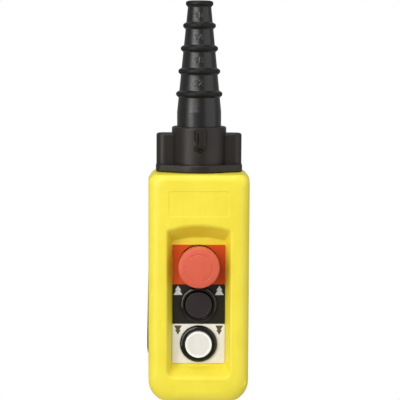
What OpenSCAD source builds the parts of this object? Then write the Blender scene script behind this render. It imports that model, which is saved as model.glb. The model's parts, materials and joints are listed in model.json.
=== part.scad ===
// Hand-held pendant control station: a double-shell enclosure hung from a
// stepped cable sleeve, with an emergency stop head and two push buttons.
// Millimetres. X to the right, -Y to the operator, +Z up. The origin is the
// middle of the cable entry at the top of the sleeve, so the body hangs below.

/* [Enclosure] */
// Width at the widest plane, where the two shells meet
body_w = 78; // [77:0.5:80]
// Height from the base to the underside of the cable collar
body_h = 176; // [175:0.5:179]
// Depth in front of the plane where the shells meet
front_depth = 35; // [34.5:0.25:36]
// Depth behind the plane where the shells meet
rear_depth = 30; // [28:0.5:33]
// Wall thickness of both shells
wall = 3; // [2.6:0.1:3.2]
// Radius of the two lower corners seen from the front
low_corner_r = 17.3; // [14:0.1:20]
// Radius of the two upper corners seen from the front
high_corner_r = 7; // [5:0.5:8]
// Radius of the long front edges
front_edge_r = 9; // [7:0.5:9.5]
// Radius of the long rear edges
rear_edge_r = 12; // [9:0.5:13]
// Taper of the flanks away from the plane where the shells meet, as a slope
draft = 0.033; // [0.02:0.001:0.04]

/* [Operator well] */
// Half width of the well at the front face
well_half_w = 24; // [23.5:0.25:24.5]
// Half width of the well at its floor
floor_half_w = 20.2; // [20.15:0.05:20.6]
// Depth of the well from the front face to its floor
well_depth = 11; // [10.5:0.25:11.5]
// Thickness of the floor that carries the operators
floor_t = 3; // [2.5:0.25:3.5]
// Distance between neighbouring operators
pitch = 30.5; // [30.2:0.1:30.6]
// Height of the lowest operator above the base
first_operator_z = 45.7; // [45.2:0.1:46.4]

/* [Operators] */
// Diameter of the emergency stop head
head_d = 31; // [29:0.2:31.4]
// Diameter of the push button caps
cap_d = 20.2; // [19:0.2:20.2]
// Diameter of the black bezels of the push buttons
bezel_d = 28.6; // [27.6:0.1:28.8]
// Diameter of the black bezel behind the emergency stop head
stop_bezel_d = 30.8; // [30.2:0.1:31.2]
// Stroke of the emergency stop head
stop_travel = 4.5; // [4:0.1:4.5]
// Stroke of the two-step push buttons
button_travel = 5.5; // [4.5:0.1:5.5]

/* [Cable entry] */
// Length of the stepped sleeve above the collar
sleeve_l = 95.5; // [93.5:0.5:100]
// Height of the collar above the enclosure
collar_h = 34.5; // [33:0.5:36]
// Radius of the cable bore at the mouth of the sleeve
mouth_r = 4.5; // [3.5:0.1:5.5]
// Distance between the rings of the sleeve
ring_pitch = 17.3; // [16.8:0.1:17.8]
// Wall thickness of the sleeve
sleeve_wall = 2.4; // [2:0.1:2.8]

/* [Fasteners] */
// Distance of the shell screws from the centre line
screw_x = 31.3; // [31.2:0.1:31.8]
// Shank radius of the shell screws
screw_r = 1.95; // [1.5:0.05:2]

/* [Hidden] */
overall_h = body_h + collar_h + sleeve_l;
collar_top = body_h + collar_h;
down_z = first_operator_z;
up_z = down_z + pitch;
stop_z = up_z + pitch;
hf = front_depth;              // front face, measured forward of the joint plane
hw = hf - well_depth;          // floor of the well
hl = hw + 1;                   // face of the legend plates
hi = hw - floor_t;             // inner side of the floor
screw_z = [17.5, 85, 153];
yellow = [0.94, 0.86, 0.27];
black = [0.16, 0.15, 0.14];
dark_rubber = [0.10, 0.10, 0.10];
brass = [0.80, 0.66, 0.33];
steel = [0.72, 0.73, 0.75];
ivory = [0.80, 0.78, 0.70];

// Points of an arc
function arc(cx, cy, r, a0, a1, n = 8) = [for (i = [0:n]) let (a = a0 + (a1 - a0) * i / n) [cx + r * cos(a), cy + r * sin(a)]];
// Rounded rectangle, with a radius for the two low and the two high corners
function rr(x0, x1, y0, y1, rl, rh, n = 8) = concat(
    arc(x1 - rl, y0 + rl, rl, -90, 0, n), arc(x1 - rh, y1 - rh, rh, 0, 90, n),
    arc(x0 + rh, y1 - rh, rh, 90, 180, n), arc(x0 + rl, y0 + rl, rl, 180, 270, n));
// Outline of the well: square below, arched above
function well_pts(w, z0, ztop, R, rb) = concat(
    arc(w - rb, z0 + rb, rb, -90, 0, 5),
    [for (i = [0:16]) let (x = w - 2 * w * i / 16) [x, ztop - R + sqrt(R * R - x * x)]],
    arc(-w + rb, z0 + rb, rb, 180, 270, 5));

module in_frame() translate([0, 0, -overall_h]) children();
// Local z runs forward out of the enclosure, from the plane where the shells meet
module on_axis(z) translate([0, 0, z]) rotate([90, 0, 0]) children();
module ring(r0, r1, h0, h1, fn = 72) translate([0, 0, h0]) difference() {
    cylinder(r = r1, h = h1 - h0, $fn = fn);
    translate([0, 0, -1]) cylinder(r = r0, h = h1 - h0 + 2, $fn = fn);
}

// ---------------------------------------------------------------- shells
// Right half of the plan, widest at the joint plane and tapering to both faces
function half_plan(o) = let (t = atan(draft), w = body_w / 2 - o, k = sqrt(1 + draft * draft), rf = front_edge_r - o,
    rb = rear_edge_r - o, yf = front_depth - o - rf, yb = rear_depth - o - rb) concat(
    arc(w - draft * yf - rf * k, -yf, rf, -90, -t, 8), [[w, 0]],
    arc(w - draft * yb - rb * k, yb, rb, t, 90, 8));
module block_solid(o) intersection() {
    translate([0, rear_depth - o, 0]) rotate([90, 0, 0]) linear_extrude(front_depth + rear_depth - 2 * o)
        polygon(rr(-body_w / 2 + o, body_w / 2 - o, o, body_h - o, low_corner_r - o, high_corner_r - o));
    translate([0, 0, o - 1]) linear_extrude(body_h - 2 * o + 2) let (p = half_plan(o), n = len(p) - 1)
        polygon(concat(p, [for (i = [0:n]) [-p[n - i][0], p[n - i][1]]]));
    translate([-body_w, 0, 0]) rotate([90, 0, 90]) linear_extrude(2 * body_w)
        polygon(rr(-front_depth + o, rear_depth - o, o, body_h - o, 11 - o, max(5 - o, 1.5)));
}
module front_half() translate([-100, -100, -10]) cube([200, 100, 300]);
module rear_half() translate([-100, 0.05, -10]) cube([200, 100, 300]);

module well(grow, h0, h1) hull() {
    translate([0, -h1 + 0.02, 0]) rotate([90, 0, 0]) linear_extrude(0.02)
        polygon(well_pts(well_half_w + grow, 21 - grow, 138 + grow, 76 + grow, 5 + grow));
    translate([0, -h0, 0]) rotate([90, 0, 0]) linear_extrude(0.02)
        polygon(well_pts(floor_half_w + grow, 28.3 - grow, 127.8 + grow, 68.2 + grow, 1 + grow));
}

module split_ring(o0, o1, y0, y1) translate([0, y1, 0]) rotate([90, 0, 0]) linear_extrude(y1 - y0) difference() {
    polygon(rr(-body_w / 2 + o0, body_w / 2 - o0, o0, body_h - o0, low_corner_r - o0, high_corner_r - o0));
    polygon(rr(-body_w / 2 + o1, body_w / 2 - o1, o1, body_h - o1, low_corner_r - o1, high_corner_r - o1));
    translate([-24.5, body_h - 12]) square([49, 20]);
}

module at_screws() for (s = [-1, 1], z = screw_z) translate([s * screw_x, 0, z]) rotate([90, 0, 0]) children();

module front_shell() color(yellow) in_frame() difference() {
    union() {
        difference() {
            intersection() { block_solid(0); front_half(); }
            difference() { block_solid(wall); well(2.6, hi, hf - 2.0); }
        }
        intersection() {
            at_screws() cylinder(r = 4.6, h = hf - 2, $fn = 32);
            block_solid(wall - 0.4);
        }
    }
    well(0, hw, hf + 0.02);
    for (z = [down_z, up_z, stop_z]) on_axis(z) translate([0, 0, hi - 2]) cylinder(r = 11.25, h = floor_t + 4, $fn = 72);
    at_screws() translate([0, 0, -1]) cylinder(r = 3.25, h = 11.2, $fn = 32);
    translate([0, 0, body_h - wall - 3]) cylinder(r = 23.25, h = wall + 6, $fn = 96);
    split_ring(0.75, 2.25, -1.2, 0.5);
    // blank label field
    translate([0, -hf + 0.4, 0]) rotate([90, 0, 0]) linear_extrude(2) polygon(rr(-23.2, 23.2, 144.3, 163.8, 2, 2, 4));
}

module rear_shell() color(yellow) in_frame() difference() {
    union() {
        difference() {
            intersection() { block_solid(0); rear_half(); }
            block_solid(wall);
        }
        intersection() {
            union() {
                at_screws() translate([0, 0, -rear_depth + 1]) cylinder(r = 6, h = rear_depth - 1.05, $fn = 32);
                // pillars of the cable clamp
                for (s = [-1, 1]) translate([12.5 * s, 0, 153]) rotate([90, 0, 0])
                    translate([0, 0, -rear_depth + 1]) cylinder(r = 4.2, h = rear_depth - 9.05, $fn = 32);
            }
            union() { block_solid(wall - 0.4); }
        }
    }
    at_screws() translate([0, 0, -rear_depth - 1]) cylinder(r = 2.2, h = rear_depth + 3, $fn = 32);
    at_screws() translate([0, 0, -rear_depth - 1]) cylinder(r = 4.2, h = 9.5, $fn = 40);
    for (s = [-1, 1]) translate([12.5 * s, 7, 153]) rotate([-90, 0, 0]) cylinder(r = 1.7, h = 14, $fn = 24);
    translate([0, 0, body_h - wall - 3]) cylinder(r = 23.25, h = wall + 6, $fn = 96);
    // seat of the strip on the left flank
    translate([-body_w / 2 - 2, 4.9, 30.4]) cube([3.25, 12.2, 85.2]);
}

module shell_gasket() color(dark_rubber) in_frame() split_ring(0.85, 2.15, -1.15, -0.02);

module shell_screws() color(steel) in_frame() at_screws() difference() {
    union() {
        translate([0, 0, -21.7]) cylinder(r = screw_r, h = 30.7, $fn = 32);
        translate([0, 0, -24.6]) cylinder(r = 3.7, h = 3, $fn = 40);
    }
    // cross recess
    for (a = [0, 90]) rotate([0, 0, a]) translate([-2.1, -0.45, -25]) cube([4.2, 0.9, 2.2]);
}

module thread_inserts() color(brass) in_frame() at_screws() difference() {
    union() {
        translate([0, 0, 0.2]) cylinder(r = 3.2, h = 3.4, $fn = 32);
        translate([0, 0, 3.6]) cylinder(r = 2.8, h = 1.6, $fn = 32);
        translate([0, 0, 5.2]) cylinder(r = 3.2, h = 4.2, $fn = 32);
    }
    translate([0, 0, -1]) cylinder(r = 2.02, h = 12, $fn = 32);
}

// Rubber strip let into the left flank of the rear shell, proud at its lower end
module side_strip() color(dark_rubber) in_frame() translate([-body_w / 2, 17, 0]) rotate([90, 0, 0]) linear_extrude(12)
    polygon([[1.2, 30.5], [1.2, 115.5], [0.25, 115.5], [-0.1, 103], [-0.6, 73], [-1.1, 45], [-1.1, 36], [-0.5, 31.4], [0.1, 30.5]]);

// ---------------------------------------------------------------- cable entry
// Outline of the collar's plate: a round middle blended by tangents into two narrow ends
module plate_2d(R, r, cx, cy) {
    a = atan2(cy, cx) + acos((R - r) / sqrt(cx * cx + cy * cy));
    polygon(concat(
        arc(0, 0, R, 180 - a, a, 14), arc(cx, cy, r, a, 0, 6),
        arc(cx, -cy, r, 0, -a, 6), arc(0, 0, R, -a, a - 180, 14),
        arc(-cx, -cy, r, a - 180, -180, 6), arc(-cx, cy, r, 180, 180 - a, 6)));
}

module cable_collar() color(black) in_frame() difference() {
    union() {
        translate([0, 0, body_h + 0.1]) linear_extrude(5.9) plate_2d(26, 7, 26.1, 7);
        translate([0, 0, body_h + 2]) cylinder(r = 20.95, h = collar_h - 2, $fn = 96);
        // wings: one block across the barrel, round at both ends
        intersection() {
            translate([0, 0, body_h + 2]) linear_extrude(collar_h - 7) polygon(rr(-32.8, 32.8, -6.9, 6.9, 6.85, 6.85, 10));
            translate([0, 40, 0]) rotate([90, 0, 0]) linear_extrude(80)
                polygon(rr(-32.8, 32.8, body_h - 10, body_h + collar_h - 5, 2, 2.2, 6));
        }
        translate([0, 0, body_h - wall - 4.4]) cylinder(r = 25.5, h = 4, $fn = 96);
        translate([0, 0, body_h - wall - 1]) cylinder(r = 23, h = wall + 2, $fn = 96);
        // latch rib at the front
        translate([-4.05, -22.7, collar_top - 16]) cube([9.1, 4, 15.7]);
    }
    translate([0, 0, body_h - 20]) cylinder(r = 17.15, h = collar_h + 30, $fn = 96);
    translate([0, 0, body_h - 20]) cylinder(r = 19.25, h = collar_h - 4.95, $fn = 96);
    translate([0, 0, body_h + 0.1 - 1]) difference() {
        cylinder(r = 25.4, h = 1.95, $fn = 96);
        translate([0, 0, -1]) cylinder(r = 23.6, h = 5, $fn = 96);
    }
    // grooves of the rib and the release pocket under it
    for (x = [-3.45, -0.55]) translate([x, -23.7, collar_top - 12.5]) cube([0.7, 1.6, 9.5]);
    translate([-2.2, -24, collar_top - 19.2]) cube([6.1, 4, 3]);
}

module collar_gasket() color(dark_rubber) in_frame() ring(23.7, 25.3, body_h + 0.04, body_h + 1.0, 96);

// Stepped sleeve: a hollow cone with five rings, cut back in use to suit the cable
sleeve_r = 16.95;
function cone_r(d) = min(8.85 + 0.101 * (d - 4), sleeve_r);
function ring_profile(i) = let (d = 1.6 + ring_pitch * i, r = cone_r(d) + 2.2) i == 0
    ? [[8.4, 0], [9.6, -0.3], [10.3, -1.0], [10.5, -2.2], [10.3, -3.3], [9.6, -4.1], [cone_r(5), -5]]
    : [[cone_r(d - 2.4), -(d - 2.4)], [r - 0.6, -(d - 1.5)], [r - 0.12, -(d - 0.75)], [r, -d], [r - 0.12, -(d + 0.75)], [r - 0.6, -(d + 1.5)], [cone_r(d + 2.4), -(d + 2.4)]];
module cable_sleeve() color(dark_rubber) rotate_extrude($fn = 72) polygon(concat(
    [[mouth_r, 0]],
    [for (i = [0:4]) each ring_profile(i)],
    [[sleeve_r, -84.3], [sleeve_r, -(sleeve_l + 25)], [19, -(sleeve_l + 25)], [19, -(sleeve_l + 28.8)],
     [sleeve_r - sleeve_wall, -(sleeve_l + 28.8)], [sleeve_r - sleeve_wall, -84.3],
     [cone_r(8.5) - sleeve_wall, -8.5], [mouth_r, -5]]));

module sleeve_clamp_ring() color(black) in_frame() ring(15.2, 19.1, body_h - 3, body_h + collar_h - 29, 96);

module gland_clamp_base() color(black) in_frame() difference() {
    translate([-19, 1.2, 147]) cube([38, 6.8, 12]);
    translate([0, 0, 143]) cylinder(r = 5.5, h = 20, $fn = 48);
    for (s = [-1, 1]) translate([12.5 * s, 0, 153]) rotate([-90, 0, 0]) cylinder(r = 1.85, h = 12, $fn = 24);
}
module gland_clamp_saddle() color(black) in_frame() difference() {
    translate([-17, -8, 148]) cube([34, 6.8, 10]);
    translate([0, 0, 143]) cylinder(r = 5.5, h = 20, $fn = 48);
    for (s = [-1, 1]) translate([12.5 * s, -10, 153]) rotate([-90, 0, 0]) cylinder(r = 1.85, h = 12, $fn = 24);
}
module gland_clamp_screws() color(steel) in_frame() for (s = [-1, 1]) translate([12.5 * s, 0, 153]) rotate([90, 0, 0]) difference() {
    union() {
        translate([0, 0, -18]) cylinder(r = 1.6, h = 26.1, $fn = 24);
        translate([0, 0, 8.05]) cylinder(r = 3, h = 2.2, $fn = 32);
    }
    translate([-3.5, -0.4, 9.3]) cube([7, 0.8, 2]);
}

// ---------------------------------------------------------------- operators
// Legend plate with its direction marks cut 0.2 mm deep; dir is 1 for up, -1 for down, 0 for none
module legend_plate(z, dir, tint) color(tint) in_frame() difference() {
    translate([0, -hw - 0.03, z]) rotate([90, 0, 0]) linear_extrude(hl - hw - 0.03) difference() {
        polygon(rr(-20, 20, 0.05 - pitch / 2, pitch / 2 - 0.05, 0.6, 0.6, 3));
        circle(r = 11.3, $fn = 72);
    }
    if (dir != 0) for (s = [-1, 1]) translate([s * 15.7, -hl + 0.2, z + 10.6]) rotate([90, 0, 0]) linear_extrude(1)
        polygon(dir > 0 ? [[-3.4, -3.6], [3.4, -3.6], [1.2, 0], [2.4, 0], [0, 3.6], [-2.4, 0], [-1.2, 0]]
                        : [[3, 3.6], [-3, 3.6], [-1.1, 0.2], [-2.2, 0.2], [0, -3.6], [2.2, 0.2], [1.1, 0.2]]);
}

// Black operator body: bezel, barrel through the floor, and the web that guides the stem
module bezel(z, d) color(black) in_frame() on_axis(z) rotate_extrude($fn = 72) polygon([
    [10.4, hi - 7], [10.4, hl + 1.9], [11.1, hl + 2.7], [12, hl + 2.7], [d / 2 - 0.6, hl + 1.7], [d / 2, hl + 0.7],
    [d / 2, hl + 0.05], [13.4, hl + 0.05], [13.4, hl + 0.85], [12, hl + 0.85], [12, hl + 0.05],
    [11.1, hl + 0.05], [11.1, hi - 11], [9.6, hi - 11], [9.6, hi - 9], [4.05, hi - 9], [4.05, hi - 7]]);
module flange_gasket(z) color(dark_rubber) in_frame() on_axis(z) ring(12.05, 13.35, hl + 0.02, hl + 0.8);
module stem_seal(z) color(dark_rubber) in_frame() on_axis(z) rotate_extrude($fn = 48) polygon([
    [4.4, hi - 6.95], [6.3, hi - 6.95], [6.3, hi - 5.6], [5.2, hi - 4.6], [4.4, hi - 4.6]]);
module lock_nut(z) color(ivory) in_frame() on_axis(z) translate([0, 0, hi - 4]) difference() {
    rotate([0, 0, 30]) cylinder(r = 14.6, h = 3.95, $fn = 6);
    translate([0, 0, -1]) cylinder(r = 11.16, h = 6, $fn = 72);
}

module cap(z, tint) color(tint) in_frame() on_axis(z) rotate_extrude($fn = 72) polygon([
    [0, hi + 7], [8.6, hi + 7], [8.6, hi + 2], [cap_d / 2, hi + 2], [cap_d / 2, hi + 8.1], [cap_d / 2 - 0.35, hi + 8.7],
    [cap_d / 2 - 1, hi + 9], [8.2, hi + 8.95], [7.9, hi + 8.75], [0, hi + 8.65]]);
module stem(z) color(ivory) in_frame() on_axis(z) rotate_extrude($fn = 48) polygon([
    [0, hi - 8.95], [4, hi - 8.95], [4, hi + 5.4], [8.4, hi + 5.4], [8.4, hi + 6.95], [0, hi + 6.95]]);

head_back = hl + 3.1 + stop_travel;
module estop_head() color([0.86, 0.41, 0.32]) in_frame() on_axis(stop_z) rotate_extrude($fn = 96) polygon(concat(
    [[0, hf + 2.1], [4.05, hf + 2.1], [4.05, hi + 6.05], [9.6, hi + 6.05], [9.6, head_back], [head_d / 2 - 1.2, head_back],
     [head_d / 2 - 0.3, head_back + 0.4], [head_d / 2, head_back + 1.2], [head_d / 2, hf + 3.9], [head_d / 2 - 0.2, hf + 5.0],
     [head_d / 2 - 0.8, hf + 6.2], [head_d / 2 - 2.1, hf + 7.3], [head_d / 2 - 3.7, hf + 7.9]],
    [for (i = [1:5]) let (r = (head_d / 2 - 3.7) * (1 - i / 5)) [r, hf + 8.5 - 0.6 * pow(r / (head_d / 2 - 3.7), 2)]]));
module estop_latch_ring() color(ivory) in_frame() on_axis(stop_z) difference() {
    ring(5, 9.4, hi + 2.35, hi + 6);
    for (a = [0:120:240]) rotate([0, 0, a]) translate([6.5, -1.6, hi + 1.3]) cube([4, 3.2, 2.4]);
}
module estop_stem() color(ivory) in_frame() on_axis(stop_z) rotate_extrude($fn = 48) polygon([
    [0, hi - 8.95], [4, hi - 8.95], [4, hi + 0.5], [8.6, hi + 0.5], [8.6, hi + 2], [4, hi + 2], [4, hf + 1.9], [0, hf + 1.9]]);

// Coil spring with its axis along local z: a closed tube swept round a helix
module coil(r, wire, z0, z1, turns, per = 10, sides = 6) {
    n = turns * per;
    pts = [for (i = [0:n], j = [0:sides - 1]) let (
        a = 360 * i / per, b = 360 * j / sides, q = r + wire * cos(b),
        z = z0 + wire + (z1 - z0 - 2 * wire) * i / n + wire * sin(b)) [q * cos(a), q * sin(a), z]];
    side_faces = [for (i = [0:n - 1], j = [0:sides - 1]) let (k = (j + 1) % sides)
        [i * sides + j, i * sides + k, (i + 1) * sides + k, (i + 1) * sides + j]];
    polyhedron(points = pts, faces = concat(
        [[for (j = [0:sides - 1]) sides - 1 - j]], side_faces, [[for (j = [0:sides - 1]) n * sides + j]]), convexity = 8);
}
module return_spring(z, h1) color(steel) in_frame() on_axis(z) coil(7.3, 0.45, hi - 6.9, h1, 5);
module block_spring(z, h1) color(steel) in_frame() on_axis(z) coil(2.85, 0.28, hi - 33.4, h1, 7);

// ---------------------------------------------------------------- contact blocks
// hb is the front of the block; hs the rear face of the fixed strips
hb = hi - 11.5;
module block_housing(z, hs) color(ivory) in_frame() on_axis(z) difference() {
    union() {
        difference() {
            translate([-14.5, -12, hb - 24]) cube([29, 24, 24]);
            translate([-12.9, -10.4, hb - 22]) cube([25.8, 20.8, 20]);
        }
        // columns that carry the strips
        for (s = [-1, 1]) translate([s * 10.3 - 2.7, -4.5, hs + 1.03]) cube([5.4, 9, hb - 1.5 - hs - 1.03]);
        ring(11.15, 13, hb - 0.5, hb + 4);
    }
    translate([0, 0, hb - 3]) cylinder(r = 4.4, h = 4, $fn = 48);
    translate([0, 0, hb - 25]) cylinder(r = 2.06, h = 4, $fn = 32);
    for (s = [-1, 1]) {
        translate([s * 10.3, 0, hb - 25]) cylinder(r = 2.9, h = 4, $fn = 32);
        translate([s * 10.3, 0, hs - 1]) cylinder(r = 1.55, h = 6, $fn = 24);
        translate([s > 0 ? 12 : -15, -2.5, hs - 3.5]) cube([3, 5, 3.2]);
    }
}
module block_contacts(z, hs, dir) color(brass) in_frame() on_axis(z) for (s = [-1, 1]) difference() {
    union() {
        translate([s > 0 ? 3.9 : -12.5, -3, hs]) cube([8.6, 6, 1]);
        translate([s * 5.4, 0, dir > 0 ? hs + 0.9 : hs - 0.75]) cylinder(r = 1.4, h = 0.85, $fn = 24);
    }
    translate([s * 10.3, 0, hs - 1]) cylinder(r = 1.55, h = 3, $fn = 24);
}
module block_screws(z, hs) color(steel) in_frame() on_axis(z) for (s = [-1, 1]) translate([s * 10.3, 0, 0]) difference() {
    union() {
        translate([0, 0, hs - 0.1]) cylinder(r = 1.5, h = 5, $fn = 24);
        translate([0, 0, hs - 2.6]) cylinder(r = 2.4, h = 2.55, $fn = 32);
    }
    translate([-3, -0.35, hs - 3]) cube([6, 0.7, 1.2]);
}
// hm is the front face of the moving bridge
module block_bridge(z, hm, dir) color(brass) in_frame() on_axis(z) difference() {
    union() {
        translate([-7, -2.2, hm - 1]) cube([14, 4.4, 1]);
        for (s = [-1, 1]) translate([s * 5.4, 0, dir > 0 ? hm - 0.1 : hm - 1.75]) cylinder(r = 1.4, h = 0.85, $fn = 24);
    }
    translate([0, 0, hm - 3]) cylinder(r = 2.06, h = 5, $fn = 32);
}
module block_plunger(z, h_shaft, h_shoulder, r_shoulder) color(black) in_frame() on_axis(z) union() {
    translate([0, 0, h_shaft]) cylinder(r = 4, h = hi - 9 - h_shaft, $fn = 48);
    translate([0, 0, h_shoulder]) cylinder(r = r_shoulder, h = h_shaft - h_shoulder + 0.5, $fn = 48);
    translate([0, 0, hb - 23]) cylinder(r = 2, h = h_shoulder - hb + 23.5, $fn = 32);
}

// Heights of the moving bridges and fixed strips, measured like hi
no_bridge = hi - 17.6;
no_strip = no_bridge - 1.75 - button_travel - 0.35 - 0.75 - 1;
nc_strip = hi - 18;
nc_bridge = nc_strip - 0.75 - 0.35 - 0.75;

front_shell();
rear_shell();
shell_gasket();
shell_screws();
thread_inserts();
side_strip();
cable_collar();
collar_gasket();
cable_sleeve();
sleeve_clamp_ring();
gland_clamp_base();
gland_clamp_saddle();
gland_clamp_screws();
legend_plate(stop_z, 0, [0.75, 0.30, 0.12]);  // legend_plate_stop
legend_plate(up_z, 1, [0.17, 0.17, 0.15]);  // legend_plate_up
legend_plate(down_z, -1, [0.88, 0.85, 0.78]);  // legend_plate_down
estop_head();
estop_latch_ring();
estop_stem();
return_spring(stop_z, hi + 0.45);  // estop_spring
bezel(stop_z, stop_bezel_d);  // estop_bezel
flange_gasket(stop_z);  // estop_gasket
stem_seal(stop_z);  // estop_stem_seal
lock_nut(stop_z);  // estop_lock_nut
block_housing(stop_z, nc_strip);  // stop_block_housing
block_plunger(stop_z, nc_strip + 1.3 + stop_travel, nc_bridge + 0.02, 3.2);  // stop_block_plunger
block_bridge(stop_z, nc_bridge, 1);  // stop_block_bridge
block_spring(stop_z, nc_bridge - 1.05);  // stop_block_spring
block_contacts(stop_z, nc_strip, -1);  // stop_block_contacts
block_screws(stop_z, nc_strip);  // stop_block_screws
cap(up_z, [0.21, 0.18, 0.17]);  // up_cap
stem(up_z);  // up_stem
return_spring(up_z, hi + 5.35);  // up_spring
bezel(up_z, bezel_d);  // up_bezel
flange_gasket(up_z);  // up_gasket
stem_seal(up_z);  // up_stem_seal
lock_nut(up_z);  // up_lock_nut
block_housing(up_z, no_strip);  // up_block_housing
block_plunger(up_z, no_bridge + 0.02, no_bridge + 0.02, 4);  // up_block_plunger
block_bridge(up_z, no_bridge, -1);  // up_block_bridge
block_spring(up_z, no_bridge - 1.05);  // up_block_spring
block_contacts(up_z, no_strip, 1);  // up_block_contacts
block_screws(up_z, no_strip);  // up_block_screws
cap(down_z, [0.91, 0.90, 0.86]);  // down_cap
stem(down_z);  // down_stem
return_spring(down_z, hi + 5.35);  // down_spring
bezel(down_z, bezel_d);  // down_bezel
flange_gasket(down_z);  // down_gasket
stem_seal(down_z);  // down_stem_seal
lock_nut(down_z);  // down_lock_nut
block_housing(down_z, no_strip);  // down_block_housing
block_plunger(down_z, no_bridge + 0.02, no_bridge + 0.02, 4);  // down_block_plunger
block_bridge(down_z, no_bridge, -1);  // down_block_bridge
block_spring(down_z, no_bridge - 1.05);  // down_block_spring
block_contacts(down_z, no_strip, 1);  // down_block_contacts
block_screws(down_z, no_strip);  // down_block_screws
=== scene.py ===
# Emergency stop pendant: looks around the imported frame.
# Shapes are written in millimetres, with z measured up from the base of the
# enclosure and y to the rear, and are turned into metres in the row frame by piece().
import json
import math

import bmesh
import bpy
import numpy as np
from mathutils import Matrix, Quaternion, Vector, geometry


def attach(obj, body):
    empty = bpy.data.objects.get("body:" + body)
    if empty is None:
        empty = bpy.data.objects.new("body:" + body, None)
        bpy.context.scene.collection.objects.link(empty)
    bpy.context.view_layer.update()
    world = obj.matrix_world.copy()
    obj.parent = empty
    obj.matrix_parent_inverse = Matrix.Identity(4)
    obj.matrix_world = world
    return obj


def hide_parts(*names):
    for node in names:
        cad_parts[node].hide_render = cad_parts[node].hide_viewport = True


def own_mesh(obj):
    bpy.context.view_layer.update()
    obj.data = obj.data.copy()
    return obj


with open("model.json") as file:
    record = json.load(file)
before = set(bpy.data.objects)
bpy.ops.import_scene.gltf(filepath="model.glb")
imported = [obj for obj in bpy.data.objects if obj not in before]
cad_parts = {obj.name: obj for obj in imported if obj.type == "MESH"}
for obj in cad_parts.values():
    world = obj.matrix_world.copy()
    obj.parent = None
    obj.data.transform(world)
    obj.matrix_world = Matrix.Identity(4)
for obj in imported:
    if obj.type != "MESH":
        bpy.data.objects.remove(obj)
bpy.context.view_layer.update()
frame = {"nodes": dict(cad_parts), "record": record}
nodes = frame["nodes"]

BASE = 306.0  # distance of the base below the origin
STOP, UP, DOWN = 106.7, 76.2, 45.7  # heights of the three operators
SCREWS = [(sx * 31.3, z) for sx in (-1, 1) for z in (17.5, 85.0, 153.0)]

# ---------------------------------------------------------------- materials


def new_material(name):
    mat = bpy.data.materials.new(name)
    mat.use_nodes = True
    nt = mat.node_tree
    bsdf = nt.nodes["Principled BSDF"]
    return mat, nt, bsdf


def link(nt, a, b):
    nt.links.new(a, b)


def coords(nt, scale=1000.0, squeeze=(1, 1, 1)):
    """Object coordinates in millimetres."""
    tc = nt.nodes.new("ShaderNodeTexCoord")
    mp = nt.nodes.new("ShaderNodeMapping")
    mp.inputs["Scale"].default_value = tuple(scale * s for s in squeeze)
    link(nt, tc.outputs["Object"], mp.inputs["Vector"])
    return mp.outputs["Vector"]


def noise(nt, vec, scale, detail=3.0, rough=0.55, distort=0.0):
    n = nt.nodes.new("ShaderNodeTexNoise")
    n.inputs["Scale"].default_value = scale
    n.inputs["Detail"].default_value = detail
    n.inputs["Roughness"].default_value = rough
    n.inputs["Distortion"].default_value = distort
    link(nt, vec, n.inputs["Vector"])
    return n.outputs["Fac"]


def ramp(nt, fac, stops):
    r = nt.nodes.new("ShaderNodeValToRGB")
    el = r.color_ramp.elements
    while len(el) < len(stops):
        el.new(0.5)
    for e, (p, c) in zip(el, stops):
        e.position = p
        e.color = (*c, 1.0)
    link(nt, fac, r.inputs["Fac"])
    return r.outputs["Color"]


def span(nt, fac, a0, a1, b0, b1):
    m = nt.nodes.new("ShaderNodeMapRange")
    for k, v in (("From Min", a0), ("From Max", a1), ("To Min", b0), ("To Max", b1)):
        m.inputs[k].default_value = v
    link(nt, fac, m.inputs["Value"])
    return m.outputs["Result"]


def combine(nt, a, b, op="ADD", c=None):
    m = nt.nodes.new("ShaderNodeMath")
    m.operation = op
    for i, v in enumerate((a, b, c)):
        if v is None:
            continue
        if isinstance(v, (int, float)):
            m.inputs[i].default_value = v
        else:
            link(nt, v, m.inputs[i])
    return m.outputs["Value"]


def bump(nt, bsdf, height, dist_mm, strength=1.0):
    b = nt.nodes.new("ShaderNodeBump")
    b.inputs["Strength"].default_value = strength
    b.inputs["Distance"].default_value = dist_mm * 0.001
    link(nt, height, b.inputs["Height"])
    link(nt, b.outputs["Normal"], bsdf.inputs["Normal"])


def srgb(r, g, b):
    return tuple(
        (c / 255 / 12.92) if c / 255 <= 0.04045 else ((c / 255 + 0.055) / 1.055) ** 2.4
        for c in (r, g, b)
    )


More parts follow.
